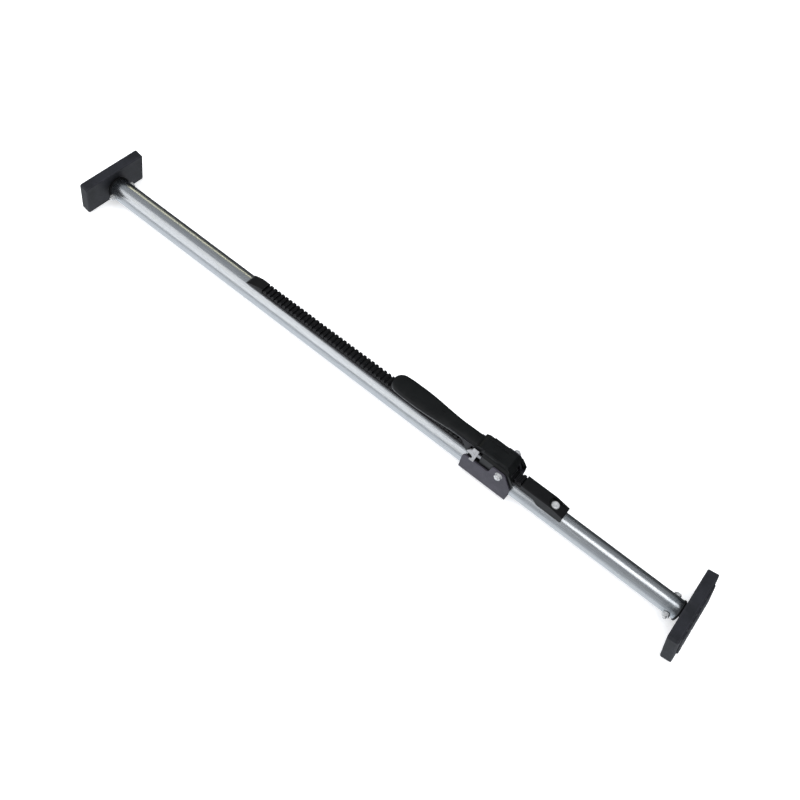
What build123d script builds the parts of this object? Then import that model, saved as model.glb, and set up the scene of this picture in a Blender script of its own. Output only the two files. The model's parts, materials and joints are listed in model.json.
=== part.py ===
from build123d import *
import math
import os

# A ratcheting cargo bar: an inner tube slides in an outer tube and is pushed out by a
# lever and pawl working on a toothed plastic rack.  Millimetres.  X runs along the bar
# from the outer tube's pad to the inner tube's pad, Y across it, Z up.
# Every piece is drawn with Z measured from the tube axis.  save() moves it, so that in the
# written files the bar rests on Z = 0 and X = Y = 0 is midway between the pad pivots.

# Pads and their swivels
FAR_PIVOT_X = -474.0
NEAR_PIVOT_X = 480.0
PAD_REST_TILT = 15.0
PAD_LENGTH = 104.0
PAD_HEIGHT = 57.0
PAD_THICKNESS = 14.0
PAD_CORNER_RADIUS = 3.5
PAD_EDGE_CHAMFER = 1.0
PAD_FACE_OFFSET = 15.0
TREAD_RISE = 2.0
TREAD_INSET_Y = 11.0
TREAD_INSET_Z = 6.0
TREAD_GROOVE_WIDTH = 3.0
TREAD_GROOVE_PITCH = 11.5
STEM_DISC_RADIUS = 14.0
STEM_DISC_DEPTH = 7.0
# Each tongue's half width, half height and reach past the cross bolt
FAR_TONGUE = (9.0, 8.0, 9.0)
NEAR_TONGUE = (6.5, 5.5, 8.0)

# Tubes
OUTER_RADIUS = 16.5
INNER_RADIUS = 13.25
TUBE_WALL = 1.5
OUTER_BORE = OUTER_RADIUS - TUBE_WALL
INNER_BORE = INNER_RADIUS - TUBE_WALL
OUTER_TUBE_END = 10.7
INNER_TUBE_END = 11.6
OUTER_MOUTH_X = 245.0
INNER_TAIL_X = -250.0
SLIDING_CLEARANCE = 0.1

# Gaps between pieces that are pressed together, seated on each other or face to face
PRESS_GAP = 0.05
SEAT_GAP = 0.02
FACE_GAP = 0.1

# Bush in the outer tube's mouth, and glide plug on the inner tube's hidden end
BUSH_DEPTH = 25.0
BUSH_LIP = 3.0
GLIDE_HEAD = 7.0
GLIDE_HEAD_GAP = 0.3
GLIDE_DEPTH = 18.0
GLIDE_BORE = 8.0

# Rack strip, fixed to the inner tube and lying over the outer tube
TOOTH_PITCH = 7.0
TOOTH_COUNT = 62
FIRST_TOOTH_X = -170.5
TOOTH_HALF_WIDTH = 2.0
TOOTH_CREST_Z = 28.4
TOOTH_SHOULDER_Z = 27.3
TOOTH_ROOT_Z = 25.0
RACK_BOTTOM_Z = 19.0
RACK_FLANGE_Z = 21.3
RACK_FLANGE_HALF = 8.7
RACK_RIB_HALF = 8.2
RACK_WEB_HALF = 7.2
RACK_TONGUE_HALF = 6.0
RACK_TONGUE_TOP_Z = 22.5
RACK_TONGUE_PAST_RIVET = 8.0
RACK_NOSE_X = -206.0
RACK_NOSE_FLAT_X = -176.0
BLOCK_START_X = 260.0
BLOCK_END_X = 322.0
BLOCK_HALF = 8.9
BLOCK_TOP_Z = 29.5
BLOCK_SIDE_Z = 11.5
RACK_RIVET_X = 306.0
RACK_RIVET_HEAD_RADIUS = 5.4
RACK_RIVET_HEAD_TOP_Z = 26.6
RECESS_FLOOR_Z = 24.0
RECESS_MARGIN = 1.2
RECESS_END_RADIUS = 5.5

# Ratchet bracket, a steel channel round the end of the outer tube
BRACKET_START_X = 178.5
BRACKET_END_X = 251.5
BRACKET_INSIDE = 16.6
SHEET = 2.0
BRACKET_OUTSIDE = BRACKET_INSIDE + SHEET
EAR_TOP_Z = 40.0
WALL_TOP_Z = 23.0
BRACKET_RIVET_XS = (190.0, 212.0)
BLIND_RIVET_HOLE = 2.4
BLIND_RIVET_HEAD_RADIUS = 4.0
BLIND_RIVET_HEAD_HEIGHT = 1.2
BLIND_RIVET_TAIL_RADIUS = 3.6
BLIND_RIVET_TAIL_Z = (-14.5, -13.8)

# Rack guide
GUIDE_START_X = 184.0
GUIDE_END_X = 212.0
GUIDE_HALF = 16.3
GUIDE_SLOT_HALF = 9.0
GUIDE_SLOT_Z = 18.6
GUIDE_TOP_Z = 22.3

# Lever pivot and pawls
PIVOT_X = 232.0
PIVOT_Z = 33.5
DRIVE_PIN_X = 223.0
DRIVE_PIN_Z = 33.5
DRIVE_PIN_RADIUS = 1.5
DRIVE_PIN_HALF = 11.2
DRIVE_PAWL_SIDES = (-7.4, 5.2)
DRIVE_GAP_X = 232.0
HOLDING_GAP_X = 190.0
PAWL_TIP_Z = 25.7

# Lift tab, a plate that slopes outward and down from the holding pawl's near arm
TAB_TOP_Y = -12.0
TAB_TOP_Z = 40.0
TAB_SLOPE = 37.0
TAB_SHEET = 1.3
TAB_LIP = 1.5
TAB_RIGHT_X = 197.0
TAB_LENGTH = 14.6

# Fasteners, M5 throughout
BOLT_RADIUS = 2.5
RUNNING_HOLE = 2.6
CLEAR_HOLE = 2.75
NUT_FLATS = 8.0
NUT_HEIGHT = 4.0
HEAD_HEIGHT = 3.5
STUB = 3.2
WASHER_RADIUS = 5.0
WASHER_THICKNESS = 0.8
PIVOT_HEAD_RADIUS = 4.2
PIVOT_HEAD_INSIDE = 7.8
PIVOT_HEAD_OUTSIDE = 9.0
PIVOT_BOLT_END = 25.0

# Screws that hold the grip on the lever's web
SCREW_RADIUS = 1.28
SCREW_PILOT_HOLE = 1.3
SCREW_CLEAR_HOLE = 1.7
SCREW_TOP_Z = 42.2
SCREW_HEAD_RADIUS = 3.0
SCREW_HEAD_HEIGHT = 1.8

# Return springs: lower Y end, coil radius, wire radius, pitch, turns, leg
DRIVE_SPRING = (6.0, 2.3, 0.35, 0.75, 3, 4.0)
HOLDING_SPRING = (11.25, 3.4, 0.25, 0.55, 2, 5.0)

# Lever, drawn closed
CHEEK_INSIDE = 9.1
CHEEK_OUTSIDE = 10.6
WEB_Z = 38.0
WEB_TOP_Z = 39.5
GRIP_TOP_Z = 43.5
GRIP_END_TOP_Z = 46.0
GRIP_RIM_Z = 37.0
GRIP_TIP_X = 52.0
GRIP_END_X = 189.5
GRIP_SCREW_XS = (100.0, 132.0)
COVER_HALF = 16.2
COVER_TOP_HALF = 13.0
COVER_TOP_Z = 49.5
COVER_STEP_LOW_Z = 41.0
COVER_STEP_HIGH_Z = 44.0
COVER_CAVITY_TOP_Z = 40.6
COVER_REAR_X = 202.0
SADDLE_REAR_X = 189.7
SADDLE_HALF = 11.2
COVER_WALL = 1.7
ARM_INSIDE = 12.9
ARM_OUTSIDE = 14.3

# A tilted pad's lowest edge is the inner bottom one, and it sets the axis height.
tilt = math.radians(PAD_REST_TILT)
lowest_edge_x = PAD_FACE_OFFSET + PAD_EDGE_CHAMFER
AXIS_HEIGHT = PAD_HEIGHT / 2 * math.cos(tilt) - lowest_edge_x * math.sin(tilt)
MIDDLE_X = (FAR_PIVOT_X + NEAR_PIVOT_X) / 2


def rod_x(radius, x_low, x_high, y=0.0, z=0.0):
    """Cylinder along the bar."""
    middle = Pos((x_low + x_high) / 2, y, z)
    return middle * Rot(0, 90, 0) * Cylinder(radius, x_high - x_low)


def rod_y(radius, y_low, y_high, x, z=0.0):
    """Cylinder across the bar."""
    middle = Pos(x, (y_low + y_high) / 2, z)
    return middle * Rot(90, 0, 0) * Cylinder(radius, y_high - y_low)


def rod_z(radius, z_low, z_high, x, y=0.0):
    """Upright cylinder."""
    return Pos(x, y, (z_low + z_high) / 2) * Cylinder(radius, z_high - z_low)


def block(x_low, x_high, y_low, y_high, z_low, z_high):
    """Box given by its limits."""
    middle = Pos((x_low + x_high) / 2, (y_low + y_high) / 2, (z_low + z_high) / 2)
    return middle * Box(x_high - x_low, y_high - y_low, z_high - z_low)


def corners(table):
    """Closed outline from rows of (first, second, corner radius)."""
    points = [(row[0], row[1]) for row in table]
    radii = [row[2] for row in table]
    return make_face(FilletPolyline(*points, radius=radii, close=True))


def side_plate(table, y_low, y_high):
    """Outline in X and Z, carried across the bar from y_low to y_high."""
    return extrude(Pos(0, y_high, 0) * (Plane.XZ * corners(table)), amount=y_high - y_low)


def section_bar(table, x_low, x_high):
    """Outline in Y and Z, carried along the bar from x_low to x_high."""
    return extrude(Pos(x_low, 0, 0) * (Plane.YZ * corners(table)), amount=x_high - x_low)


def both_sides(make):
    """The same piece on the near side and the far side of the bar."""
    return make(-1) + make(1)


def across(side, low, high):
    """Y limits of a span that starts low and ends high from the centre plane."""
    return (low, high) if side > 0 else (-high, -low)


def hexagon_y(y_low, y_high, x, z=0.0):
    """Hexagon bar across the bar, as wide as an M5 nut."""
    radius = NUT_FLATS / math.sqrt(3)
    face = Plane.XZ * RegularPolygon(radius, 6)
    solid = extrude(Pos(x, y_high, z) * face, amount=y_high - y_low)
    crown = rod_y(radius * 0.97, y_low, y_high, x, z)
    return solid & crown


# ---------------------------------------------------------------- tubes

def make_outer_tube():
    tube = rod_x(OUTER_RADIUS, FAR_PIVOT_X - OUTER_TUBE_END, OUTER_MOUTH_X)
    tube -= rod_x(OUTER_BORE, FAR_PIVOT_X - 20, OUTER_MOUTH_X + 5)
    tube -= rod_y(CLEAR_HOLE, -20, 20, FAR_PIVOT_X)
    for x in BRACKET_RIVET_XS:
        tube -= rod_z(BLIND_RIVET_HOLE, -18, -12, x)
    return tube


def make_inner_tube():
    tube = rod_x(INNER_RADIUS, INNER_TAIL_X, NEAR_PIVOT_X + INNER_TUBE_END)
    tube -= rod_x(INNER_BORE, INNER_TAIL_X - 5, NEAR_PIVOT_X + 20)
    tube -= rod_y(CLEAR_HOLE, -20, 20, NEAR_PIVOT_X)
    tube -= rod_z(RUNNING_HOLE, 5, 16, RACK_RIVET_X)
    return tube


def make_tube_bush():
    """Plastic bush in the outer tube's mouth that the inner tube slides through."""
    bush = rod_x(OUTER_BORE - PRESS_GAP, OUTER_MOUTH_X - BUSH_DEPTH, OUTER_MOUTH_X)
    bush += rod_x(OUTER_RADIUS - FACE_GAP, OUTER_MOUTH_X, OUTER_MOUTH_X + BUSH_LIP)
    return bush - rod_x(INNER_RADIUS + SLIDING_CLEARANCE, OUTER_MOUTH_X - 30, OUTER_MOUTH_X + 5)


def make_glide_plug():
    """Plastic plug on the inner tube's hidden end that keeps it centred."""
    plug = rod_x(OUTER_BORE - GLIDE_HEAD_GAP, INNER_TAIL_X - GLIDE_HEAD, INNER_TAIL_X)
    plug += rod_x(INNER_BORE - PRESS_GAP, INNER_TAIL_X, INNER_TAIL_X + GLIDE_DEPTH)
    return plug - rod_x(GLIDE_BORE, INNER_TAIL_X - 10, INNER_TAIL_X + 20)


# ---------------------------------------------------------------- rack

def make_rack():
    flange = block(RACK_NOSE_FLAT_X, BLOCK_START_X, -RACK_FLANGE_HALF, RACK_FLANGE_HALF,
                   RACK_BOTTOM_Z, RACK_FLANGE_Z)
    web = block(RACK_NOSE_FLAT_X, BLOCK_START_X, -RACK_WEB_HALF, RACK_WEB_HALF,
                RACK_FLANGE_Z, TOOTH_ROOT_Z)
    tongue_end = RACK_RIVET_X + RACK_TONGUE_PAST_RIVET
    tongue = block(BLOCK_START_X, tongue_end, -RACK_TONGUE_HALF, RACK_TONGUE_HALF,
                   RACK_BOTTOM_Z, RACK_TONGUE_TOP_Z)

    rib_profile = Plane.XZ * make_face([
        Line((-TOOTH_HALF_WIDTH, RACK_FLANGE_Z), (TOOTH_HALF_WIDTH, RACK_FLANGE_Z)),
        Line((TOOTH_HALF_WIDTH, RACK_FLANGE_Z), (TOOTH_HALF_WIDTH, TOOTH_SHOULDER_Z)),
        ThreePointArc((TOOTH_HALF_WIDTH, TOOTH_SHOULDER_Z), (0, TOOTH_CREST_Z),
                      (-TOOTH_HALF_WIDTH, TOOTH_SHOULDER_Z)),
        Line((-TOOTH_HALF_WIDTH, TOOTH_SHOULDER_Z), (-TOOTH_HALF_WIDTH, RACK_FLANGE_Z)),
    ])
    rib = extrude(Pos(0, RACK_RIB_HALF, 0) * rib_profile, amount=2 * RACK_RIB_HALF)
    rib_ends = section_bar([
        (-RACK_RIB_HALF, RACK_FLANGE_Z, 0), (RACK_RIB_HALF, RACK_FLANGE_Z, 0),
        (RACK_RIB_HALF, TOOTH_CREST_Z + 0.2, 2.6), (-RACK_RIB_HALF, TOOTH_CREST_Z + 0.2, 2.6),
    ], -5, 5)
    rib = rib & rib_ends
    ribs = [Pos(FIRST_TOOTH_X + TOOTH_PITCH * i, 0, 0) * rib for i in range(TOOTH_COUNT)]

    nose_profile = Plane.XZ * make_face([
        Line((RACK_NOSE_X, RACK_BOTTOM_Z), (RACK_NOSE_FLAT_X, RACK_BOTTOM_Z)),
        Line((RACK_NOSE_FLAT_X, RACK_BOTTOM_Z), (RACK_NOSE_FLAT_X, TOOTH_CREST_Z)),
        ThreePointArc((RACK_NOSE_FLAT_X, TOOTH_CREST_Z), (-193.0, 25.6), (RACK_NOSE_X, 20.2)),
        Line((RACK_NOSE_X, 20.2), (RACK_NOSE_X, RACK_BOTTOM_Z)),
    ])
    nose = extrude(Pos(0, RACK_FLANGE_HALF, 0) * nose_profile, amount=2 * RACK_FLANGE_HALF)
    nose_crown = section_bar([
        (-RACK_FLANGE_HALF, RACK_BOTTOM_Z, 0), (RACK_FLANGE_HALF, RACK_BOTTOM_Z, 0),
        (RACK_FLANGE_HALF, RACK_FLANGE_Z, 0), (RACK_RIB_HALF, TOOTH_CREST_Z + 0.2, 2.2),
        (-RACK_RIB_HALF, TOOTH_CREST_Z + 0.2, 2.2), (-RACK_FLANGE_HALF, RACK_FLANGE_Z, 0),
    ], RACK_NOSE_X - 5, RACK_NOSE_FLAT_X + 5)
    rack = flange.fuse(web, tongue, nose & nose_crown, *ribs)
    return rack - rod_z(RUNNING_HOLE, 10, 30, RACK_RIVET_X)


def make_rack_end_block():
    """Saddle that ties the rack strip to the inner tube."""
    body = side_plate([
        (BLOCK_START_X, RACK_BOTTOM_Z, 0), (BLOCK_START_X, BLOCK_TOP_Z, 1.2),
        (298.0, BLOCK_TOP_Z, 8), (BLOCK_END_X, 23.5, 1.5), (BLOCK_END_X, BLOCK_SIDE_Z, 2),
        (287.0, BLOCK_SIDE_Z, 2), (280.0, RACK_BOTTOM_Z, 2),
    ], -BLOCK_HALF, BLOCK_HALF)
    shape = section_bar([
        (-BLOCK_HALF, 0, 0), (BLOCK_HALF, 0, 0),
        (BLOCK_HALF, BLOCK_TOP_Z + 0.2, 2), (-BLOCK_HALF, BLOCK_TOP_Z + 0.2, 2),
    ], BLOCK_START_X - 5, BLOCK_END_X + 5)
    body = body & shape
    body -= rod_x(INNER_RADIUS + SEAT_GAP, BLOCK_START_X - 10, BLOCK_END_X + 10)
    slot_half = RACK_TONGUE_HALF + FACE_GAP
    slot_end = RACK_RIVET_X + RACK_TONGUE_PAST_RIVET + FACE_GAP
    body -= block(BLOCK_START_X - 5, slot_end, -slot_half, slot_half,
                  RACK_BOTTOM_Z - FACE_GAP, RACK_TONGUE_TOP_Z + FACE_GAP)
    recess_half = RACK_RIVET_HEAD_RADIUS + RECESS_MARGIN
    recess = block(RACK_RIVET_X - 9, BLOCK_END_X + 5, -recess_half, recess_half,
                   RECESS_FLOOR_Z, 35)
    recess = fillet(recess.edges().filter_by(Axis.Z).group_by(Axis.X)[0], RECESS_END_RADIUS)
    return body - recess - rod_z(RUNNING_HOLE, 10, 30, RACK_RIVET_X)


def make_rack_rivet():
    rivet = rod_z(BOLT_RADIUS, 10.0, 25.0, RACK_RIVET_X)
    rivet += rod_z(4.5, 9.6, 10.9, RACK_RIVET_X)
    head = rod_z(RACK_RIVET_HEAD_RADIUS, RECESS_FLOOR_Z, RACK_RIVET_HEAD_TOP_Z, RACK_RIVET_X)
    head = fillet(head.edges().group_by(Axis.Z)[-1], 1.8)
    return rivet + head


# ---------------------------------------------------------------- bracket and its fixings

def make_ratchet_bracket():
    high = EAR_TOP_Z + 5
    channel = section_bar([
        (-BRACKET_OUTSIDE, high, 0), (-BRACKET_OUTSIDE, -BRACKET_OUTSIDE, 9),
        (BRACKET_OUTSIDE, -BRACKET_OUTSIDE, 9), (BRACKET_OUTSIDE, high, 0),
        (BRACKET_INSIDE, high, 0), (BRACKET_INSIDE, -BRACKET_INSIDE, 7),
        (-BRACKET_INSIDE, -BRACKET_INSIDE, 7), (-BRACKET_INSIDE, high, 0),
    ], BRACKET_START_X, BRACKET_END_X)
    silhouette = side_plate([
        (BRACKET_START_X + 2, -25.0, 0), (BRACKET_START_X, -12.0, 6),
        (BRACKET_START_X + 0.5, WALL_TOP_Z, 7), (217.5, WALL_TOP_Z, 2),
        (220.5, EAR_TOP_Z, 3), (238.5, EAR_TOP_Z, 4.5), (BRACKET_END_X, 17.5, 5),
        (BRACKET_END_X - 1, -25.0, 0),
    ], -25, 25)
    bracket = channel & silhouette
    bracket -= rod_y(BOLT_RADIUS + PRESS_GAP, -25, 25, PIVOT_X, PIVOT_Z)
    for x in BRACKET_RIVET_XS:
        bracket -= rod_z(BLIND_RIVET_HOLE, -25, -12, x)
    return bracket


def make_bracket_rivets():
    """Two blind rivets that hold the bracket under the outer tube."""
    rivets = []
    tail_low, tail_high = BLIND_RIVET_TAIL_Z
    head_low = -BRACKET_OUTSIDE - BLIND_RIVET_HEAD_HEIGHT
    for x in BRACKET_RIVET_XS:
        outside = rod_z(BLIND_RIVET_HEAD_RADIUS, head_low, -BRACKET_OUTSIDE, x)
        outside = fillet(outside.edges().group_by(Axis.Z)[0], 0.8)
        shank = rod_z(BLIND_RIVET_HOLE - PRESS_GAP, -BRACKET_OUTSIDE - 0.2, tail_high, x)
        inside = rod_z(BLIND_RIVET_TAIL_RADIUS, tail_low, tail_high, x)
        rivets.append(outside + shank + inside)
    return rivets[0] + rivets[1]


def make_rack_guide():
    """Plastic saddle on the outer tube whose lips keep the rack strip in line."""
    guide = section_bar([
        (-GUIDE_HALF, 0, 0), (GUIDE_HALF, 0, 0),
        (GUIDE_HALF, GUIDE_TOP_Z, 1.5), (GUIDE_SLOT_HALF, GUIDE_TOP_Z, 0.8),
        (GUIDE_SLOT_HALF, GUIDE_SLOT_Z, 0), (-GUIDE_SLOT_HALF, GUIDE_SLOT_Z, 0),
        (-GUIDE_SLOT_HALF, GUIDE_TOP_Z, 0.8), (-GUIDE_HALF, GUIDE_TOP_Z, 1.5),
    ], GUIDE_START_X, GUIDE_END_X)
    return guide - rod_x(OUTER_RADIUS + SEAT_GAP, GUIDE_START_X - 14, GUIDE_END_X + 18)


def make_pivot_bolts():
    """Two shoulder bolts, one in each ear, so the middle stays free for the drive pawl."""
    def one(side):
        shank_span = across(side, PIVOT_HEAD_INSIDE, PIVOT_BOLT_END)
        head_span = across(side, PIVOT_HEAD_INSIDE, PIVOT_HEAD_OUTSIDE)
        shank = rod_y(BOLT_RADIUS, *shank_span, PIVOT_X, PIVOT_Z)
        return shank + rod_y(PIVOT_HEAD_RADIUS, *head_span, PIVOT_X, PIVOT_Z)
    return both_sides(one)


def make_pivot_washers():
    def one(side):
        low, high = across(side, BRACKET_OUTSIDE, BRACKET_OUTSIDE + WASHER_THICKNESS)
        disc = rod_y(WASHER_RADIUS, low, high, PIVOT_X, PIVOT_Z)
        return disc - rod_y(BOLT_RADIUS + PRESS_GAP, low - 1, high + 1, PIVOT_X, PIVOT_Z)
    return both_sides(one)


def make_pivot_nuts():
    def one(side):
        base = BRACKET_OUTSIDE + WASHER_THICKNESS
        low, high = across(side, base, base + NUT_HEIGHT)
        nut = hexagon_y(low, high, PIVOT_X, PIVOT_Z)
        return nut - rod_y(BOLT_RADIUS + SEAT_GAP, low - 1, high + 1, PIVOT_X, PIVOT_Z)
    return both_sides(one)


def make_cross_bolt(x, tube_radius):
    """Hexagon bolt through a tube end, head on the far side, threaded stub on the near."""
    face = tube_radius + FACE_GAP
    shank = rod_y(BOLT_RADIUS, -face - NUT_HEIGHT - STUB, face + 0.5, x)
    shank = chamfer(shank.edges().group_by(Axis.Y)[0], 0.5)
    return shank + hexagon_y(face, face + HEAD_HEIGHT, x)


def make_cross_nut(x, tube_radius):
    face = tube_radius + FACE_GAP
    nut = hexagon_y(-face - NUT_HEIGHT, -face, x)
    return nut - rod_y(BOLT_RADIUS + SEAT_GAP, -face - NUT_HEIGHT - 1, -face + 1, x)


# ---------------------------------------------------------------- pads
# A pad is drawn square to the bar at the +X end, with its pivot at X = 0.

def make_pad_rubber():
    outer_face = PAD_FACE_OFFSET + PAD_THICKNESS
    half_y = PAD_LENGTH / 2
    half_z = PAD_HEIGHT / 2
    pad = block(PAD_FACE_OFFSET, outer_face, -half_y, half_y, -half_z, half_z)
    pad = fillet(pad.edges().filter_by(Axis.X), PAD_CORNER_RADIUS)
    rims = pad.edges().group_by(Axis.X)
    pad = chamfer(rims[0] + rims[-1], PAD_EDGE_CHAMFER)

    tread_y = half_y - TREAD_INSET_Y
    tread_z = half_z - TREAD_INSET_Z
    tread = block(outer_face - 1, outer_face + TREAD_RISE, -tread_y, tread_y, -tread_z, tread_z)
    tread = fillet(tread.edges().filter_by(Axis.X), PAD_CORNER_RADIUS)
    tread = chamfer(tread.edges().group_by(Axis.X)[-1], 0.8)
    for i in (-3, -2, -1, 1, 2, 3):
        middle = (abs(i) - 0.5) * TREAD_GROOVE_PITCH * math.copysign(1, i)
        half = TREAD_GROOVE_WIDTH / 2
        tread -= block(outer_face, outer_face + 5, middle - half, middle + half, -half_z, half_z)
    pocket = rod_x(STEM_DISC_RADIUS, PAD_FACE_OFFSET - 1, PAD_FACE_OFFSET + STEM_DISC_DEPTH)
    return pad + tread - pocket


def make_pad_stem(half_y, half_z, reach):
    """Tongue on the cross bolt, with the disc that is bonded into the rubber."""
    disc = rod_x(STEM_DISC_RADIUS, PAD_FACE_OFFSET, PAD_FACE_OFFSET + STEM_DISC_DEPTH)
    tongue = block(-reach, PAD_FACE_OFFSET + 1, -half_y, half_y, -half_z, half_z)
    tongue = fillet(tongue.edges().filter_by(Axis.Y).group_by(Axis.X)[0], half_z * 0.9)
    return disc + tongue - rod_y(RUNNING_HOLE, -20, 20, 0)


def place_near_pad(piece):
    return Pos(NEAR_PIVOT_X, 0, 0) * Rot(0, -PAD_REST_TILT, 0) * piece


def place_far_pad(piece):
    return Pos(FAR_PIVOT_X, 0, 0) * Rot(0, PAD_REST_TILT, 0) * Rot(0, 0, 180) * piece


# ---------------------------------------------------------------- lever

def make_lever_frame():
    """Stamped steel channel: a web under the grip and two cheeks round the rack."""
    cheek_rows = [
        (150.0, WEB_TOP_Z, 0), (150.0, WEB_Z, 0), (165.5, 37.6, 8), (173.0, 31.0, 14),
        (177.0, 20.6, 2), (182.8, 20.6, 1), (183.0, 37.2, 3), (216.5, 37.2, 4),
        (221.0, 27.0, 4), (228.0, 21.5, 4), (239.0, 21.0, 6), (247.5, 26.5, 5),
        (245.0, 35.5, 3), (238.0, 43.0, 4), (233.5, 46.3, 1.5), (206.0, 46.3, 3),
        (203.5, WEB_TOP_Z, 0),
    ]
    web = block(84.0, 213.0, -CHEEK_OUTSIDE, CHEEK_OUTSIDE, WEB_Z, WEB_TOP_Z)
    web = fillet(web.edges().filter_by(Axis.Z).group_by(Axis.X)[0], 6.0)
    frame = web
    for side in (-1, 1):
        frame += side_plate(cheek_rows, *across(side, CHEEK_INSIDE, CHEEK_OUTSIDE))
    frame -= rod_y(RUNNING_HOLE, -20, 20, PIVOT_X, PIVOT_Z)
    frame -= rod_y(DRIVE_PIN_RADIUS + SEAT_GAP, -20, 20, DRIVE_PIN_X, DRIVE_PIN_Z)
    for x in GRIP_SCREW_XS:
        frame -= rod_z(SCREW_CLEAR_HOLE, 30, 45, x)
    return frame


def make_lever_grip():
    """Paddle handle, widest near its tip and hollow underneath."""
    half_outline = [
        (GRIP_TIP_X, 11.6, 9.8), (84.0, 15.4, 60), (124.0, 13.6, 120),
        (166.0, CHEEK_OUTSIDE, 60), (GRIP_END_X, CHEEK_OUTSIDE, 0),
    ]
    other_half = [(x, -y, radius) for x, y, radius in reversed(half_outline)]
    grip = extrude(Pos(0, 0, GRIP_RIM_Z) * corners(half_outline + other_half),
                   amount=GRIP_END_TOP_Z - GRIP_RIM_Z)
    grip &= side_plate([
        (GRIP_TIP_X - 1, GRIP_RIM_Z, 0), (GRIP_TIP_X - 1, GRIP_TOP_Z - 0.8, 5),
        (90.0, GRIP_TOP_Z, 120), (160.0, GRIP_TOP_Z, 90), (GRIP_END_X, GRIP_END_TOP_Z, 0),
        (GRIP_END_X, GRIP_RIM_Z, 0),
    ], -20, 20)
    inset_outline = [
        (GRIP_TIP_X + 2.2, 9.4, 7.6), (84.0, 13.1, 60), (124.0, 11.8, 120),
        (145.0, 10.9, 0), (145.0, -10.9, 0), (124.0, -11.8, 120), (84.0, -13.1, 60),
        (GRIP_TIP_X + 2.2, -9.4, 7.6),
    ]
    grip -= extrude(Pos(0, 0, GRIP_RIM_Z - 1) * corners(inset_outline),
                    amount=WEB_TOP_Z - GRIP_RIM_Z + 1)
    grip -= block(140.0, GRIP_END_X + 5, -20, 20, GRIP_RIM_Z - 5, WEB_TOP_Z)
    for x in GRIP_SCREW_XS:
        grip -= rod_z(SCREW_PILOT_HOLE, 30, SCREW_TOP_Z + 0.2, x)
    return grip


def make_grip_screws():
    screws = []
    for x in GRIP_SCREW_XS:
        shank = rod_z(SCREW_RADIUS, WEB_Z - 0.5, SCREW_TOP_Z, x)
        head = rod_z(SCREW_HEAD_RADIUS, WEB_Z - SCREW_HEAD_HEIGHT, WEB_Z, x)
        head = fillet(head.edges().group_by(Axis.Z)[0], 0.8)
        screws.append(shank + head)
    return screws[0] + screws[1]


def make_lever_head_cover():
    """Moulded cover over the pivot end of the lever, open below for the rack."""
    shell = side_plate([
        (COVER_REAR_X, 23.5, 2), (COVER_REAR_X, WEB_TOP_Z + 0.1, 0),
        (SADDLE_REAR_X, WEB_TOP_Z + 0.1, 0), (SADDLE_REAR_X, GRIP_END_TOP_Z, 2),
        (SADDLE_REAR_X + 5, COVER_TOP_Z, 6), (236.5, COVER_TOP_Z, 2.5), (251.5, 29.5, 4),
        (251.5, 21.5, 2), (242.0, 23.5, 4),
    ], -COVER_HALF, COVER_HALF)
    shell &= section_bar([
        (-COVER_HALF, 15, 0), (COVER_HALF, 15, 0), (COVER_HALF, COVER_STEP_LOW_Z, 1.5),
        (COVER_TOP_HALF, COVER_STEP_HIGH_Z, 1.5), (COVER_TOP_HALF, COVER_TOP_Z, 2),
        (-COVER_TOP_HALF, COVER_TOP_Z, 2), (-COVER_TOP_HALF, COVER_STEP_HIGH_Z, 1.5),
        (-COVER_HALF, COVER_STEP_LOW_Z, 1.5),
    ], 180, 256)
    for side in (-1, 1):
        low, high = across(side, SADDLE_HALF, 20.0)
        shell -= block(180, COVER_REAR_X, low, high, 10, 60)

    ceiling = COVER_TOP_Z - COVER_WALL
    lower_half = ARM_OUTSIDE + 0.4
    shell -= side_plate([
        (COVER_REAR_X - 5, 10.0, 0), (COVER_REAR_X - 5, COVER_CAVITY_TOP_Z, 0),
        (241.0, COVER_CAVITY_TOP_Z, 0), (246.3, PIVOT_Z, 0), (260.0, PIVOT_Z, 0),
        (260.0, 10.0, 0),
    ], -lower_half, lower_half)
    shell -= side_plate([
        (SADDLE_REAR_X + COVER_WALL, 38.0, 0), (SADDLE_REAR_X + COVER_WALL, 44.5, 0),
        (SADDLE_REAR_X + 6, ceiling, 3), (235.6, ceiling, 1), (241.4, 40.0, 0),
        (241.4, 38.0, 0),
    ], -CHEEK_OUTSIDE - 0.1, CHEEK_OUTSIDE + 0.1)
    shell -= block(240, 260, -12.0, 12.0, 10, 39.8)
    for y in (5.0, 9.0):
        shell -= block(196.5, 230.0, y - 0.7, y + 0.7, COVER_TOP_Z - 0.8, COVER_TOP_Z + 1)
    return shell - rod_y(BOLT_RADIUS + 0.5, -20, 20, PIVOT_X, PIVOT_Z)


def make_drive_pawl():
    """Pawl that pushes the rack on the lever's down stroke; its tip is under the pivot."""
    tip = DRIVE_GAP_X
    body = side_plate([
        (DRIVE_PIN_X - 3, 30.0, 2.5), (DRIVE_PIN_X - 3, 37.0, 3.2),
        (DRIVE_PIN_X + 3, 37.0, 3.2), (tip - 1.5, 34.2, 2), (tip + 1.6, 31.0, 2),
        (tip + 1.0, PAWL_TIP_Z, 0.3), (tip - 1.0, PAWL_TIP_Z, 0.3), (tip - 1.7, 29.0, 0.5),
        (DRIVE_PIN_X + 4, 29.4, 1),
    ], *DRIVE_PAWL_SIDES)
    return body - rod_y(DRIVE_PIN_RADIUS + 0.08, -10, 10, DRIVE_PIN_X, DRIVE_PIN_Z)


def make_drive_pawl_pin():
    return rod_y(DRIVE_PIN_RADIUS, -DRIVE_PIN_HALF, DRIVE_PIN_HALF, DRIVE_PIN_X, DRIVE_PIN_Z)


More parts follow.
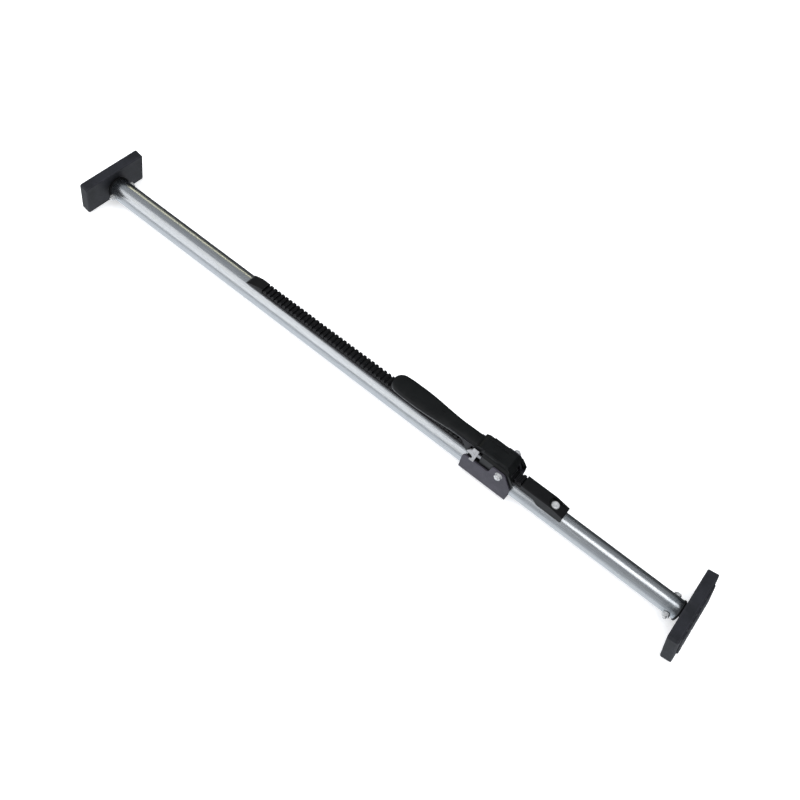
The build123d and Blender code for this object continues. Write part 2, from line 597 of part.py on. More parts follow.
def make_lift_tab():
    """F-shaped thumb plate with a raised lip on its right and lower edges."""
    slope = math.radians(TAB_SLOPE)
    face = Plane(origin=(0, TAB_TOP_Y, TAB_TOP_Z), x_dir=(1, 0, 0),
                 z_dir=(0, -math.sin(slope), math.cos(slope)))
    outline = corners([
        (188.4, 0, 1), (TAB_RIGHT_X, 0, 0.5), (TAB_RIGHT_X, -TAB_LENGTH, 1),
        (190.4, -TAB_LENGTH, 0.6), (190.4, -12.6, 0.4), (193.0, -12.4, 0.5),
        (192.4, -10.0, 1), (189.4, -8.8, 0.8), (183.0, -8.0, 0.5), (183.0, -6.2, 0.5),
        (188.0, -4.4, 1),
    ])
    plate = extrude(face * outline, amount=TAB_SHEET)
    lip = block(TAB_RIGHT_X - TAB_SHEET, TAB_RIGHT_X, -TAB_LENGTH + 0.4, -0.4,
                0.2, TAB_SHEET + TAB_LIP)
    lip += block(190.6, TAB_RIGHT_X, -TAB_LENGTH, -TAB_LENGTH + TAB_SHEET,
                 0.2, TAB_SHEET + TAB_LIP)
    return plate + face.location * lip


def make_holding_pawl():
    """Bright stamped yoke: arms on the pivot bolts, a nose in the rack and a lift tab."""
    gap = HOLDING_GAP_X + 0.15
    arm_rows = [
        (184.0, 28.8, 1), (184.0, 35.5, 2), (205.0, 35.5, 6),
        (PIVOT_X - 7, PIVOT_Z + 5.5, 4), (PIVOT_X + 6, PIVOT_Z + 5.5, 5.5),
        (PIVOT_X + 6, PIVOT_Z - 5.6, 5.5), (PIVOT_X - 7, PIVOT_Z - 5.6, 4),
        (205.0, 30.0, 6), (197.0, 28.8, 2),
    ]
    pawl = block(184.5, 196.0, -ARM_OUTSIDE, ARM_OUTSIDE, 29.0, 30.8)
    for side in (-1, 1):
        arm = side_plate(arm_rows, *across(side, ARM_INSIDE, ARM_OUTSIDE))
        pawl += arm - rod_y(RUNNING_HOLE, -20, 20, PIVOT_X, PIVOT_Z)
    pawl += side_plate([
        (gap - 3.0, 29.2, 0), (gap + 2.4, 29.2, 0), (gap + 1.0, 27.6, 0.5),
        (gap + 1.0, PAWL_TIP_Z, 0.3), (gap - 1.0, PAWL_TIP_Z, 0.3), (gap - 1.0, 27.6, 0.5),
    ], -7.0, 7.0)
    pawl += block(188.6, 196.6, -ARM_OUTSIDE, -ARM_INSIDE, 34.0, 39.4)
    return pawl + make_lift_tab()


def make_torsion_spring(x, z, y_low, coil_radius, wire_radius, pitch, turns, leg):
    """Wire coil across the bar, with a straight leg from the top of each end."""
    helix = Helix(pitch, pitch * turns, coil_radius)
    first = Line(helix @ 0 - (helix % 0) * leg, helix @ 0)
    last = Line(helix @ 1, helix @ 1 + (helix % 1) * leg)
    start = Plane(first @ 0, z_dir=first % 0)
    coil = sweep(start * Circle(wire_radius), path=Wire([first, helix, last]))
    return Pos(x, y_low, z) * Rot(-90, 0, 0) * Rot(0, 0, -90) * coil


# ---------------------------------------------------------------- output

def save(name, piece):
    moved = Pos(-MIDDLE_X, 0, AXIS_HEIGHT) * piece
    solids = moved.solids()
    result = solids[0] if len(solids) == 1 else Compound(children=solids)
    export_step(result, f"parts/{name}.step")


def main():
    os.makedirs("parts", exist_ok=True)
    save("outer_tube", make_outer_tube())
    save("tube_bush", make_tube_bush())
    save("ratchet_bracket", make_ratchet_bracket())
    save("bracket_rivets", make_bracket_rivets())
    save("rack_guide", make_rack_guide())
    save("pivot_shoulder_bolts", make_pivot_bolts())
    save("pivot_washers", make_pivot_washers())
    save("pivot_nuts", make_pivot_nuts())
    save("far_pad_bolt", make_cross_bolt(FAR_PIVOT_X, OUTER_RADIUS))
    save("far_pad_nut", make_cross_nut(FAR_PIVOT_X, OUTER_RADIUS))

    save("inner_tube", make_inner_tube())
    save("glide_plug", make_glide_plug())
    save("rack_strip", make_rack())
    save("rack_end_block", make_rack_end_block())
    save("rack_rivet", make_rack_rivet())
    save("near_pad_bolt", make_cross_bolt(NEAR_PIVOT_X, INNER_RADIUS))
    save("near_pad_nut", make_cross_nut(NEAR_PIVOT_X, INNER_RADIUS))

    save("far_pad_rubber", place_far_pad(make_pad_rubber()))
    save("far_pad_stem", place_far_pad(make_pad_stem(*FAR_TONGUE)))
    save("near_pad_rubber", place_near_pad(make_pad_rubber()))
    save("near_pad_stem", place_near_pad(make_pad_stem(*NEAR_TONGUE)))

    save("lever_frame", make_lever_frame())
    save("lever_grip", make_lever_grip())
    save("grip_screws", make_grip_screws())
    save("lever_head_cover", make_lever_head_cover())
    save("drive_pawl_pin", make_drive_pawl_pin())
    save("drive_pawl", make_drive_pawl())
    save("holding_pawl", make_holding_pawl())
    save("drive_pawl_spring", make_torsion_spring(DRIVE_PIN_X, DRIVE_PIN_Z, *DRIVE_SPRING))
    save("holding_pawl_spring", make_torsion_spring(PIVOT_X, PIVOT_Z, *HOLDING_SPRING))


main()
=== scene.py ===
import bpy
import bmesh
import json
import math
from mathutils import Matrix, Vector


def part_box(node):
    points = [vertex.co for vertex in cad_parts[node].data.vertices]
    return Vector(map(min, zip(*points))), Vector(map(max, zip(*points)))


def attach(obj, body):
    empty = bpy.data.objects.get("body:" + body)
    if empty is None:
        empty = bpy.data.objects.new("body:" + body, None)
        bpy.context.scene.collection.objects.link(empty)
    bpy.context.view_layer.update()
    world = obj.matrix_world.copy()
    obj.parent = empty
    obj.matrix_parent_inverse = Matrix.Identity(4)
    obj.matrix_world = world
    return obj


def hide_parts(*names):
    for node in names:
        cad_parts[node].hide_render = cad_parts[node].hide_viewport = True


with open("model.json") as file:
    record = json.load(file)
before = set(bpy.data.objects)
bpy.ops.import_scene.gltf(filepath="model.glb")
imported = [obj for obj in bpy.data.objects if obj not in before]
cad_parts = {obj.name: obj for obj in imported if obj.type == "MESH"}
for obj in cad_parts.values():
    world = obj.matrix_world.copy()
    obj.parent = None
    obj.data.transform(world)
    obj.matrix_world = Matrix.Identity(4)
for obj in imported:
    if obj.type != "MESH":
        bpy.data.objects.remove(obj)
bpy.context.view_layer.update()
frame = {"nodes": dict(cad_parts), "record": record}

MM = 0.001
# Mesh attribute that marks faces for a lighter edge colour: partly wear and partly a painted
# highlight on rounded edges.
RUBBED_AND_HIGHLIT = "rubbed_and_highlit"
nodes = frame["nodes"]
slot_of = {row["node"]: row["material_slot"] for row in frame["record"]["subparts"]}

# ------------------------------------------------------------------ places from the frame
tube_low, tube_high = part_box("outer_tube")
AXIS_Z = (tube_low.z + tube_high.z) / 2
# The tubes' last stretch by each pad is painted dark and mottled, a painted reflection of the black
# pad, and fades in over the fade length below.
PAD_REFLECTION_LENGTH = 24 * MM
PAD_REFLECTION_FADE = 12 * MM
PAD_REFLECTION_FROM = -tube_low.x - PAD_REFLECTION_LENGTH


# ------------------------------------------------------------------ material helpers
def new_material(name):
    """Empty material with one Principled shader, returned with its node tree."""
    material = bpy.data.materials.new(name)
    material.use_nodes = True
    tree = material.node_tree
    tree.nodes.clear()
    shader = tree.nodes.new("ShaderNodeBsdfPrincipled")
    output = tree.nodes.new("ShaderNodeOutputMaterial")
    tree.links.new(shader.outputs["BSDF"], output.inputs["Surface"])
    return material, tree, shader


def coordinates(tree, scale=(1, 1, 1), turn=(0, 0, 0)):
    """Object coordinates in metres, turned and then stretched by scale."""
    source = tree.nodes.new("ShaderNodeTexCoord")
    mapping = tree.nodes.new("ShaderNodeMapping")
    mapping.inputs["Rotation"].default_value = turn
    mapping.inputs["Scale"].default_value = scale
    tree.links.new(source.outputs["Object"], mapping.inputs["Vector"])
    return mapping.outputs["Vector"]


def noise(tree, vector, scale, detail=3.0, rough=0.55, distortion=0.0):
    node = tree.nodes.new("ShaderNodeTexNoise")
    node.inputs["Scale"].default_value = scale
    node.inputs["Detail"].default_value = detail
    node.inputs["Roughness"].default_value = rough
    node.inputs["Distortion"].default_value = distortion
    tree.links.new(vector, node.inputs["Vector"])
    return node.outputs["Fac"]


def ramp(tree, value, stops):
    """Colour ramp from (position, colour) stops."""
    node = tree.nodes.new("ShaderNodeValToRGB")
    elements = node.color_ramp.elements
    while len(elements) < len(stops):
        elements.new(0.5)
    for element, (position, colour) in zip(elements, stops):
        element.position = position
        element.color = (*colour, 1)
    tree.links.new(value, node.inputs["Fac"])
    return node.outputs["Color"]


def spread(tree, value, low, high, from_low=0.3, from_high=0.7):
    """value carried from its usual range into low to high."""
    node = tree.nodes.new("ShaderNodeMapRange")
    node.inputs["From Min"].default_value = from_low
    node.inputs["From Max"].default_value = from_high
    node.inputs["To Min"].default_value = low
    node.inputs["To Max"].default_value = high
    tree.links.new(value, node.inputs["Value"])
    return node.outputs["Result"]


def connect(tree, target, value):
    """Link a socket, or set a constant colour or number."""
    if isinstance(value, bpy.types.NodeSocket):
        tree.links.new(value, target)
    elif isinstance(value, tuple):
        target.default_value = (*value, 1)
    else:
        target.default_value = value


def mixed(tree, factor, first, second):
    """Colour that goes from first to second as factor goes from 0 to 1."""
    node = tree.nodes.new("ShaderNodeMix")
    node.data_type = "RGBA"
    usable = {socket.name: socket for socket in node.inputs if socket.enabled}
    for name, value in (("Factor", factor), ("A", first), ("B", second)):
        connect(tree, usable[name], value)
    return [socket for socket in node.outputs if socket.enabled][0]


def maths(tree, operation, first, second=0.0):
    node = tree.nodes.new("ShaderNodeMath")
    node.operation = operation
    connect(tree, node.inputs[0], first)
    connect(tree, node.inputs[1], second)
    return node.outputs["Value"]


def bump(tree, shader, height, distance):
    node = tree.nodes.new("ShaderNodeBump")
    node.inputs["Distance"].default_value = distance
    node.inputs["Strength"].default_value = 1.0
    tree.links.new(height, node.inputs["Height"])
    tree.links.new(node.outputs["Normal"], shader.inputs["Normal"])


def edge_wear_and_highlight(tree, amount):
    """Up to amount, in patches, on the faces that a mesh marks for the lighter edge colour, and 0
    elsewhere; that colour stands for wear and a painted highlight.
    """
    mark = tree.nodes.new("ShaderNodeAttribute")
    mark.attribute_name = RUBBED_AND_HIGHLIT
    patches = noise(tree, coordinates(tree), 170, 3, 0.6)
    return maths(tree, "MULTIPLY", mark.outputs["Fac"], spread(tree, patches, 0.45 * amount, amount))


# ------------------------------------------------------------------ materials
def galvanised():
    """Drawn zinc-coated tube: fine lines along it, slanting streaks, and dark mottled ends painted as
    the reflection of the black pads.
    """
    material, tree, shader = new_material("galvanised_tube")
    lines = noise(tree, coordinates(tree, (5, 170, 170)), 12, 4, 0.62)
    hairs = noise(tree, coordinates(tree, (14, 1100, 1100)), 9, 2, 0.5)
    cloud = noise(tree, coordinates(tree, (1, 3, 3)), 26, 3, 0.6, 0.3)
    streaks = noise(tree, coordinates(tree, (1, 2.2, 2.2), (0, 0.5, 0.5)), 210, 3, 0.6, 0.6)
    stain = noise(tree, coordinates(tree, (3, 60, 60)), 7, 3, 0.6)
    base = ramp(tree, lines, [(0.30, (0.50, 0.52, 0.54)), (0.52, (0.62, 0.64, 0.66)),
                              (0.72, (0.74, 0.755, 0.765))])
    stained = mixed(tree, spread(tree, stain, 0.0, 0.35, 0.50, 0.72), base, (0.57, 0.58, 0.49))
    clouded = mixed(tree, spread(tree, cloud, 0.0, 0.35), stained, (0.70, 0.72, 0.75))
    streaked = mixed(tree, spread(tree, streaks, 0.0, 0.30, 0.50, 0.68), clouded, (0.47, 0.49, 0.52))
    place = tree.nodes.new("ShaderNodeTexCoord")
    parts = tree.nodes.new("ShaderNodeSeparateXYZ")
    tree.links.new(place.outputs["Object"], parts.inputs["Vector"])
    # Darkening towards each pad: painted reflection of the black pads in the tube.
    reach = maths(tree, "ABSOLUTE", parts.outputs["X"])
    ends = spread(tree, reach, 0.0, 1.0, PAD_REFLECTION_FROM, PAD_REFLECTION_FROM + PAD_REFLECTION_FADE)
    mottle = noise(tree, coordinates(tree), 330, 4, 0.7)
    pad_reflection_paint = maths(tree, "MULTIPLY", ends, spread(tree, mottle, 0.0, 0.7, 0.36, 0.62))
    colour = mixed(tree, pad_reflection_paint, streaked, (0.20, 0.24, 0.27))
    tree.links.new(colour, shader.inputs["Base Color"])
    shader.inputs["Metallic"].default_value = 1.0
    rough = maths(tree, "ADD", spread(tree, lines, 0.18, 0.26), spread(tree, streaks, -0.02, 0.06))
    tree.links.new(rough, shader.inputs["Roughness"])
    height = maths(tree, "ADD", maths(tree, "MULTIPLY", lines, 1.4), hairs)
    bump(tree, shader, height, 0.007 * MM)
    return material


def moulded_black(name, base, light, rub_and_highlight, grain, rough, depth):
    """Moulded plastic or blackened steel: fine grain, uneven gloss and lighter edges, partly wear and
    partly a painted highlight.

    base and light are the mottled colour, the third colour is that of the marked edges, wear and a
    painted highlight, grain the scale of the surface grain and depth its height, and rough the range
    of the roughness.
    """
    material, tree, shader = new_material(name)
    cells = noise(tree, coordinates(tree), grain, 2, 0.6)
    cloud = noise(tree, coordinates(tree), 60, 3, 0.6)
    scuffs = noise(tree, coordinates(tree, (1, 4, 4)), 90, 4, 0.7)
    colour = mixed(tree, spread(tree, cloud, 0.0, 1.0), base, light)
    dusty = mixed(tree, spread(tree, scuffs, 0.0, 0.2, 0.60, 0.78), colour,
                  tuple(c * 1.8 + 0.003 for c in light))
    # Lighter marked edges: partly wear and partly a painted highlight.
    rubbed_and_highlit = mixed(tree, edge_wear_and_highlight(tree, 0.9), dusty, rub_and_highlight)
    tree.links.new(rubbed_and_highlit, shader.inputs["Base Color"])
    gloss = maths(tree, "ADD", spread(tree, cloud, *rough), spread(tree, scuffs, -0.02, 0.05))
    tree.links.new(gloss, shader.inputs["Roughness"])
    shader.inputs["Specular IOR Level"].default_value = 0.25
    bump(tree, shader, cells, depth)
    return material


def coated_grey():
    """Satin purple-grey coating on the stamped bracket, lighter at its edges: partly wear and partly
    a painted highlight.
    """
    material, tree, shader = new_material("grey_bracket")
    grain = noise(tree, coordinates(tree), 1100, 3, 0.6)
    cloud = noise(tree, coordinates(tree), 85, 3, 0.6)
    scratch = noise(tree, coordinates(tree, (8, 120, 60)), 11, 4, 0.65)
    colour = mixed(tree, spread(tree, cloud, 0.0, 1.0), (0.034, 0.031, 0.043), (0.052, 0.048, 0.064))
    scored = mixed(tree, spread(tree, scratch, 0.0, 0.5, 0.60, 0.75), colour, (0.095, 0.09, 0.115))
    # Lighter marked edges: partly wear and partly a painted highlight.
    worn_and_highlit = mixed(tree, edge_wear_and_highlight(tree, 0.7), scored, (0.12, 0.115, 0.14))
    tree.links.new(worn_and_highlit, shader.inputs["Base Color"])
    tree.links.new(spread(tree, grain, 0.40, 0.54), shader.inputs["Roughness"])
    shader.inputs["Specular IOR Level"].default_value = 0.3
    bump(tree, shader, grain, 0.04 * MM)
    return material


def zinc(name, low, high, rough, metal):
    """Plated steel: cloudy brightness, fine scratches and near-white edges, partly wear and partly a
    painted highlight.
    """
    material, tree, shader = new_material(name)
    cloud = noise(tree, coordinates(tree), 240, 3, 0.6)
    scratches = noise(tree, coordinates(tree, (40, 900, 300)), 9, 3, 0.6)
    colour = mixed(tree, spread(tree, cloud, 0.0, 1.0), low, high)
    grimy = mixed(tree, spread(tree, scratches, 0.0, 0.25, 0.56, 0.72), colour,
                  tuple(c * 0.6 for c in low))
    # Near-white marked edges: partly wear and partly a painted highlight.
    bright = mixed(tree, edge_wear_and_highlight(tree, 1.0), grimy, (0.95, 0.95, 0.95))
    tree.links.new(bright, shader.inputs["Base Color"])
    shader.inputs["Metallic"].default_value = metal
    tree.links.new(spread(tree, scratches, *rough), shader.inputs["Roughness"])
    bump(tree, shader, scratches, 0.01 * MM)
    return material


def rubber():
    """Matte charcoal rubber with a moulded grain, dust in patches and pale edges, partly wear and
    partly a painted highlight.
    """
    material, tree, shader = new_material("pad_rubber")
    grain = noise(tree, coordinates(tree), 1500, 4, 0.65)
    cloud = noise(tree, coordinates(tree), 38, 4, 0.6)
    dust = noise(tree, coordinates(tree), 120, 5, 0.7)
    colour = mixed(tree, spread(tree, cloud, 0.0, 1.0), (0.009, 0.010, 0.012), (0.019, 0.020, 0.026))
    dusty = mixed(tree, spread(tree, dust, 0.0, 0.3, 0.52, 0.72), colour, (0.038, 0.038, 0.046))
    # Pale marked edges: partly wear and partly a painted highlight.
    pale = mixed(tree, edge_wear_and_highlight(tree, 0.6), dusty, (0.034, 0.034, 0.042))
    tree.links.new(pale, shader.inputs["Base Color"])
    tree.links.new(spread(tree, grain, 0.48, 0.66), shader.inputs["Roughness"])
    shader.inputs["Specular IOR Level"].default_value = 0.3
    bump(tree, shader, grain, 0.06 * MM)
    return material


finish = {
    "galvanised_tube": galvanised(),
    "grey_bracket": coated_grey(),
    "dark_steel": moulded_black(
        "dark_steel", base=(0.005, 0.005, 0.006), light=(0.010, 0.010, 0.012),
        rub_and_highlight=(0.15, 0.15, 0.17), grain=900.0, rough=(0.28, 0.38), depth=0.02 * MM),
    "zinc_fastener": zinc(
        "zinc_fastener", low=(0.50, 0.51, 0.52), high=(0.80, 0.80, 0.80),
        rough=(0.28, 0.40), metal=0.6),
    "bright_zinc": zinc(
        "bright_zinc", low=(0.38, 0.385, 0.40), high=(0.55, 0.555, 0.57),
        rough=(0.24, 0.36), metal=0.8),
    "black_nylon": moulded_black(
        "black_nylon", base=(0.0022, 0.0022, 0.0026), light=(0.0045, 0.0045, 0.005),
        rub_and_highlight=(0.075, 0.076, 0.082), grain=2400.0, rough=(0.32, 0.44), depth=0.03 * MM),
    "lever_plastic": moulded_black(
        "lever_plastic", base=(0.003, 0.0035, 0.0036), light=(0.006, 0.0066, 0.0068),
        rub_and_highlight=(0.16, 0.165, 0.17), grain=2400.0, rough=(0.26, 0.36), depth=0.02 * MM),
    "pad_rubber": rubber(),
}

for name, node in nodes.items():
    node.data.materials.clear()
    node.data.materials.append(finish[slot_of[name]])
    for polygon in node.data.polygons:
        polygon.use_smooth = True


# ------------------------------------------------------------------ mesh helpers
def body_of(node_name):
    bodies = frame["record"]["behaviour"]["bodies"]
    return [body for body, members in bodies.items() if node_name in members][0]


def add_piece(name, mesh, slot, body, replaced=()):
    """Link a new piece, give it its slot's finish and set it riding on its body."""
    piece = bpy.data.objects.new(name, mesh)
    bpy.context.scene.collection.objects.link(piece)
    mesh.materials.clear()
    mesh.materials.append(finish[slot])
    for polygon in mesh.polygons:
        polygon.use_smooth = True
    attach(piece, body)
    if replaced:
        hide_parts(*replaced)
    return piece


def smoothstep(low, high, value):
    t = min(1.0, max(0.0, (value - low) / (high - low)))
    return t * t * (3 - 2 * t)


# ------------------------------------------------------------------ rounded edges
# Faces that meet within FLAT_WITHIN are joined, outer edges that turn by more than ROUND_OVER
# are rounded, and edges over SHARP_OVER are shaded sharp.
FLAT_WITHIN = math.radians(1)
ROUND_OVER = math.radians(28)
SHARP_OVER = math.radians(50)


def even_normals(piece):
    """Shade the large flat faces flat and let only the rounded edges turn."""
    piece.data.set_sharp_from_angle(angle=SHARP_OVER)
    modifier = piece.modifiers.new("even_normals", "WEIGHTED_NORMAL")
    modifier.weight = 100
    modifier.keep_sharp = True
    evaluated = piece.evaluated_get(bpy.context.evaluated_depsgraph_get())
    mesh = bpy.data.meshes.new_from_object(evaluated)
    piece.modifiers.clear()
    piece.data = mesh


def soften(name, radius, also=None):
    """Show a copy of a CAD piece whose outer edges are rounded, by radius at most.

    Short edges in the mesh hold the rounding back, so on most pieces it is slight.  The
    rounded edges are marked for the lighter edge colour, wear and a painted highlight, and so are the
    faces that also(middle) picks.
    """
    build = bmesh.new()
    build.from_mesh(nodes[name].data)
    mark = build.faces.layers.float.new(RUBBED_AND_HIGHLIT)
    bmesh.ops.remove_doubles(build, verts=build.verts, dist=1e-6)
    bmesh.ops.dissolve_limit(build, angle_limit=FLAT_WITHIN, verts=build.verts,
                             edges=build.edges)
    sharp = [edge for edge in build.edges
             if edge.is_manifold and edge.is_convex and edge.calc_face_angle() > ROUND_OVER]
    rounded = bmesh.ops.bevel(build, geom=sharp, offset=radius, offset_type="OFFSET",
                              segments=3, profile=0.5, affect="EDGES", clamp_overlap=True)
    for face in rounded["faces"]:
        face[mark] = 1.0
    if also:
        for face in build.faces:
            if also(face.calc_center_median()):
                face[mark] = 1.0
    mesh = bpy.data.meshes.new(name + "_shown")
    build.to_mesh(mesh)
    build.free()
    piece = add_piece(name + "_shown", mesh, slot_of[name], body_of(name), [name])
    even_normals(piece)


# Largest radius of each piece's rounded edges, in millimetres
SOFT_EDGES = {
    "ratchet_bracket": 0.7, "lever_head_cover": 0.8, "lever_frame": 0.45, "rack_end_block": 0.6,
    "rack_guide": 0.4, "holding_pawl": 0.5, "drive_pawl": 0.3, "far_pad_rubber": 1.0,
    "near_pad_rubber": 1.0, "far_pad_stem": 0.6, "near_pad_stem": 0.6, "tube_bush": 0.4,
    "glide_plug": 0.4, "pivot_nuts": 0.3, "pivot_shoulder_bolts": 0.3, "far_pad_nut": 0.3,
    "near_pad_nut": 0.3, "far_pad_bolt": 0.3, "near_pad_bolt": 0.3,
}

for name, radius in SOFT_EDGES.items():
    soften(name, radius * MM)

# The rack's low side flanges take the lighter edge colour, a painted sheen for the light falling on
# their sides.
RACK_FLANGE = 2.4 * MM
flange_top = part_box("rack_strip")[0].z + RACK_FLANGE
soften("rack_strip", 0.35 * MM, lambda middle: middle.z < flange_top)


# ------------------------------------------------------------------ collars on the tube mouths, dark rings standing partly for painted shadow at the pads
def shadow_collar(tube, end_x, inward, rise, set_back, width):
    """Black lip round a tube's mouth at end_x, partly the pad's dark boss and partly painted shadow
    of the gap at the pad; inward is 1 or -1, the way into the tube.
    """
    low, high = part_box(tube)
    radius = (high.z - low.z) / 2
    corner = 0.35 * rise
    start = end_x + inward * set_back
    outline = [(0, 0), (0, rise - corner), (0.3 * corner, rise - 0.3 * corner), (corner, rise),
               (width - corner, rise), (width - 0.3 * corner, rise - 0.3 * corner),
               (width, rise - corner), (width, 0)]
    mesh = bpy.data.meshes.new(tube + "_collar")
    build = bmesh.new()
    rings = []
    steps = 96
    for i in range(steps):
        angle = 2 * math.pi * i / steps
        rings.append([build.verts.new((start + inward * along, (radius + out) * math.sin(angle),
                                       AXIS_Z + (radius + out) * math.cos(angle)))
                      for along, out in outline])
    for i, ring in enumerate(rings):
        following = rings[(i + 1) % steps]
        for j in range(len(outline)):
            k = (j + 1) % len(outline)
            build.faces.new((ring[j], ring[k], following[k], following[j]))
    bmesh.ops.recalc_face_normals(build, faces=build.faces)
    build.to_mesh(mesh)
    build.free()
    piece = add_piece(tube + "_collar", mesh, "black_nylon", body_of(tube))
    even_normals(piece)


shadow_collar("outer_tube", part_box("outer_tube")[0].x, inward=1, rise=2.0 * MM, set_back=0.9 * MM,
       width=2.8 * MM)
shadow_collar("inner_tube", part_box("inner_tube")[1].x, inward=-1, rise=1.1 * MM, set_back=0.6 * MM,
       width=2.2 * MM)


# ------------------------------------------------------------------ lever grip
def lever_grip():
    """Crowned paddle: a rounded shell with a bead along its rim, hollow underneath."""
    low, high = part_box("lever_grip")
    length = high.x - low.x
    half_most = (high.y - low.y) / 2
    half_waist = (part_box("lever_frame")[1].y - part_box("lever_frame")[0].y) / 2
    bead = 0.9 * MM
    wall = 2.0 * MM
    rim = low.z
    web_top = rim + 2.5 * MM
    tip_round = 13.0 * MM
    roundness = 2.4
    crown_base = 1.6 * MM
    body_height = 6.5 * MM
    heel_rise = 2.5 * MM
    tip_drop = 2.2 * MM
    side_bulge = 0.62
    crown_bulge = 0.72

    def half_width(x):
        along = (x - low.x) / length
        swell = smoothstep(-0.20, 0.20, along)
        narrow = smoothstep(0.30, 0.84, along)
        full = 0.70 * half_most + 0.30 * half_most * swell
        full += (half_waist - half_most) * narrow
        into = min(1.0, (x - low.x) / tip_round)
        return max(0.3 * MM, full * (1 - (1 - into) ** roundness) ** (1 / roundness) - bead)

    def top(x):
        along = (x - low.x) / length
        rise = smoothstep(0.62, 1.0, along) * heel_rise
        into = min(1.0, (x - low.x) / (0.5 * tip_round))
        drop = tip_drop * (1 - (1 - (1 - into) ** 2) ** 0.5)
        return rim + body_height + rise - drop

    def section(x):
        """Closed loop of (y, z), from the near rim over the crown and back inside."""
        half = half_width(x)
        high_z = top(x)
        tall = high_z - rim
        side = [(half + bead * 0.5, rim), (half + bead, rim + 0.45 * MM),
                (half + bead, rim + 0.95 * MM), (half + bead * 0.5, rim + 1.4 * MM)]
        crown = []
        steps = 12
        for i in range(steps + 1):
            angle = math.pi / 2 * i / steps
            crown.append((half * math.cos(angle) ** side_bulge,
                          rim + crown_base + (tall - crown_base) * math.sin(angle) ** crown_bulge))
        outer = side + crown
        over = [(-y, z) for y, z in outer] + [(y, z) for y, z in reversed(outer[:-1])]
        inside = max(0.1 * MM, half - wall)
        ceiling = min(web_top, high_z - 1.2 * MM)
        under = [(inside, rim), (inside, ceiling), (-inside, ceiling), (-inside, rim)]
        return over + under

    stations = []
    count = 84
    for i in range(count + 1):
        t = i / count
        stations.append(low.x + length * (0.35 * t + 0.65 * t * t) if t < 0.999 else high.x)
    mesh = bpy.data.meshes.new("grip_shell")
    build = bmesh.new()
    rings = []
    for x in stations:
        rings.append([build.verts.new((x, y, z)) for y, z in section(x)])
    mark = build.faces.layers.float.new(RUBBED_AND_HIGHLIT)
    for ring, following in zip(rings, rings[1:]):
        for j in range(len(ring)):
            k = (j + 1) % len(ring)
            face = build.faces.new((ring[j], ring[k], following[k], following[j]))
            # The faces along the rim bead take the lighter edge colour: a painted highlight line
            # along the lever's lower rim.
            if face.calc_center_median().z < rim + 1.5 * MM:
                face[mark] = 1.0
    build.faces.new(reversed(rings[0]))
    build.faces.new(rings[-1])
    bmesh.ops.recalc_face_normals(build, faces=build.faces)
    build.to_mesh(mesh)
    build.free()
    mesh.set_sharp_from_angle(angle=SHARP_OVER)
    return add_piece("lever_grip_shell", mesh, "lever_plastic", body_of("lever_grip"), ["lever_grip"])


lever_grip()


# ------------------------------------------------------------------ floor, lights and camera
def pale_floor():
    """White floor that glows a little, so that the shadows on it stay faint."""
    material, tree, shader = new_material("pale_floor")
    cloud = noise(tree, coordinates(tree), 3, 2, 0.5)
    tree.links.new(mixed(tree, cloud, (0.88, 0.885, 0.90), (0.92, 0.925, 0.94)),
                   shader.inputs["Base Color"])
    shader.inputs["Roughness"].default_value = 0.9
    shader.inputs["Specular IOR Level"].default_value = 0.0
    shader.inputs["Emission Color"].default_value = (1, 1, 1, 1)
    shader.inputs["Emission Strength"].default_value = 0.5
    return material


def floor():
    mesh = bpy.data.meshes.new("floor")
    reach = 6.0
    mesh.from_pydata([(-reach, -reach, 0), (reach, -reach, 0), (reach, reach, 0), (-reach, reach, 0)],
                     [], [(0, 1, 2, 3)])
    thing = bpy.data.objects.new("floor", mesh)
    bpy.context.scene.collection.objects.link(thing)
    mesh.materials.append(pale_floor())
    thing.visible_glossy = False


def area_light(name, place, aim, size, power, tint, glossy):
    light = bpy.data.lights.new(name, "AREA")
    light.shape = "RECTANGLE"
    light.size, light.size_y = size
    light.energy = power
    light.color = tint
    thing = bpy.data.objects.new(name, light)
    thing.location = place
    thing.rotation_euler = (Vector(aim) - Vector(place)).to_track_quat("-Z", "Y").to_euler()
    thing.visible_glossy = glossy
    bpy.context.scene.collection.objects.link(thing)


# Brightness of the studio's walls round the bar's axis, as (angle in degrees, brightness):
# -90 is the floor, 0 is level on the -Y side, 90 is overhead and 180 is level on the +Y side.
WALLS = [(-120, 0.9), (-30, 0.9), (-5, 0.5), (50, 0.3), (90, 0.4), (150, 0.25), (165, 0.07),
         (240, 0.06)]
WALL_TINT = (0.95, 1.0, 1.06)
WHITE = (1.0, 1.0, 1.0)
WARM = (1.0, 0.95, 0.62)
# Name, place, aim, size, power, tint, and whether the metal mirrors it
SOFT_BOXES = [
    ("overhead", (0.0, -0.3, 2.6), (0, 0, 0), (3.2, 3.0), 70, WHITE, False),
    ("key", (-1.0, -1.5, 1.0), (0, 0, 0), (2.4, 2.0), 12, WHITE, True),
    ("top_strip", (0.6, -0.15, 2.0), (0.3, 0, 0), (1.2, 0.6), 4, WHITE, True),
    ("back_strip", (-1.5, 1.4, 0.9), (-0.3, 0, 0), (0.9, 0.25), 1.1, WARM, True),
]


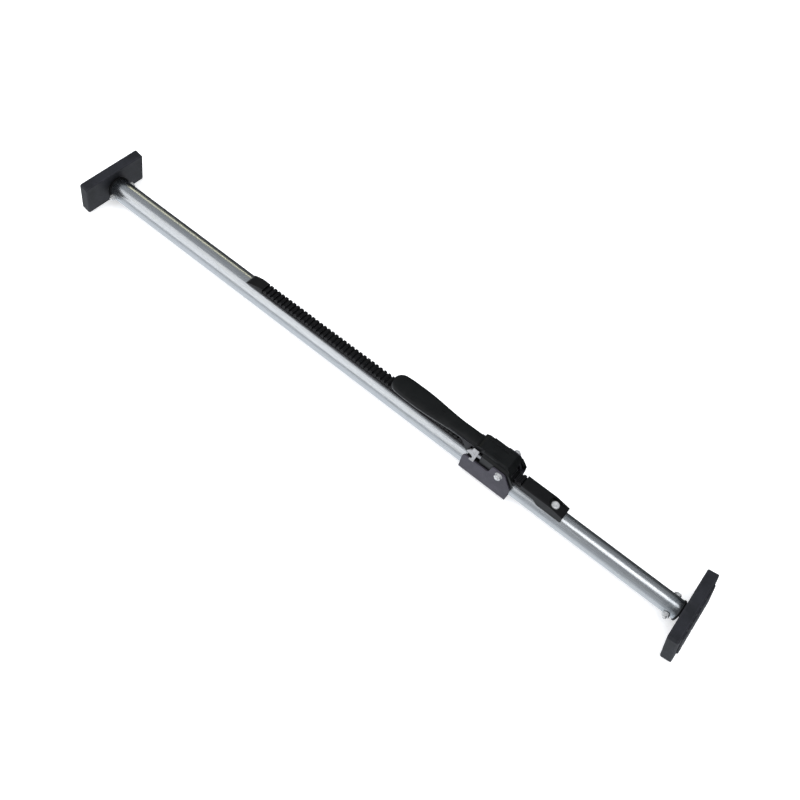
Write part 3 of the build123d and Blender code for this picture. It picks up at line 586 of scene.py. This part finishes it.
def studio():
    """Plain pale walls with a dark back, and four soft boxes."""
    world = bpy.data.worlds.new("studio")
    bpy.context.scene.world = world
    world.use_nodes = True
    tree = world.node_tree
    background = tree.nodes["Background"]
    source = tree.nodes.new("ShaderNodeTexCoord")
    parts = tree.nodes.new("ShaderNodeSeparateXYZ")
    tree.links.new(source.outputs["Generated"], parts.inputs["Vector"])
    away = maths(tree, "MULTIPLY", parts.outputs["Y"], -1.0)
    angle = maths(tree, "ARCTAN2", parts.outputs["Z"], away)
    first = WALLS[0][0]
    turns = maths(tree, "ADD", maths(tree, "DIVIDE", angle, 2 * math.pi), 1 - first / 360)
    stops = [((degrees - first) / 360, tuple(value * c for c in WALL_TINT))
             for degrees, value in WALLS]
    walls = ramp(tree, maths(tree, "FRACT", turns), stops)
    rays = tree.nodes.new("ShaderNodeLightPath")
    seen = mixed(tree, rays.outputs["Is Camera Ray"], walls, (1.0, 1.0, 1.0))
    tree.links.new(seen, background.inputs["Color"])
    background.inputs["Strength"].default_value = 1.0
    for light in SOFT_BOXES:
        area_light(*light)


# The camera looks down on the bar: turned by TURN along it, tipped by TIP and rolled so
# that the bar runs down to the right.
TURN = math.radians(15.0)
TIP = math.radians(62.5)
ROLL = math.radians(37.0)
AIM_X = 0.0626
DISTANCE = 0.996
LENS = 34.0


def camera():
    along = Vector((math.cos(TURN), math.sin(TURN) * math.cos(TIP), -math.sin(TURN) * math.sin(TIP)))
    aside = Vector((0, math.sin(TIP), math.cos(TIP)))
    back = along.cross(aside)
    right = math.cos(ROLL) * along + math.sin(ROLL) * aside
    up = -math.sin(ROLL) * along + math.cos(ROLL) * aside
    aim = Vector((AIM_X, 0, AXIS_Z))
    data = bpy.data.cameras.new("camera")
    data.lens = LENS
    data.sensor_width = 36.0
    data.clip_start = 0.01
    thing = bpy.data.objects.new("camera", data)
    turned = Matrix((right, up, back)).transposed().to_4x4()
    thing.matrix_world = Matrix.Translation(aim + DISTANCE * back) @ turned
    bpy.context.scene.collection.objects.link(thing)
    bpy.context.scene.camera = thing


floor()
studio()
camera()
bpy.context.scene.view_settings.view_transform = "Standard"
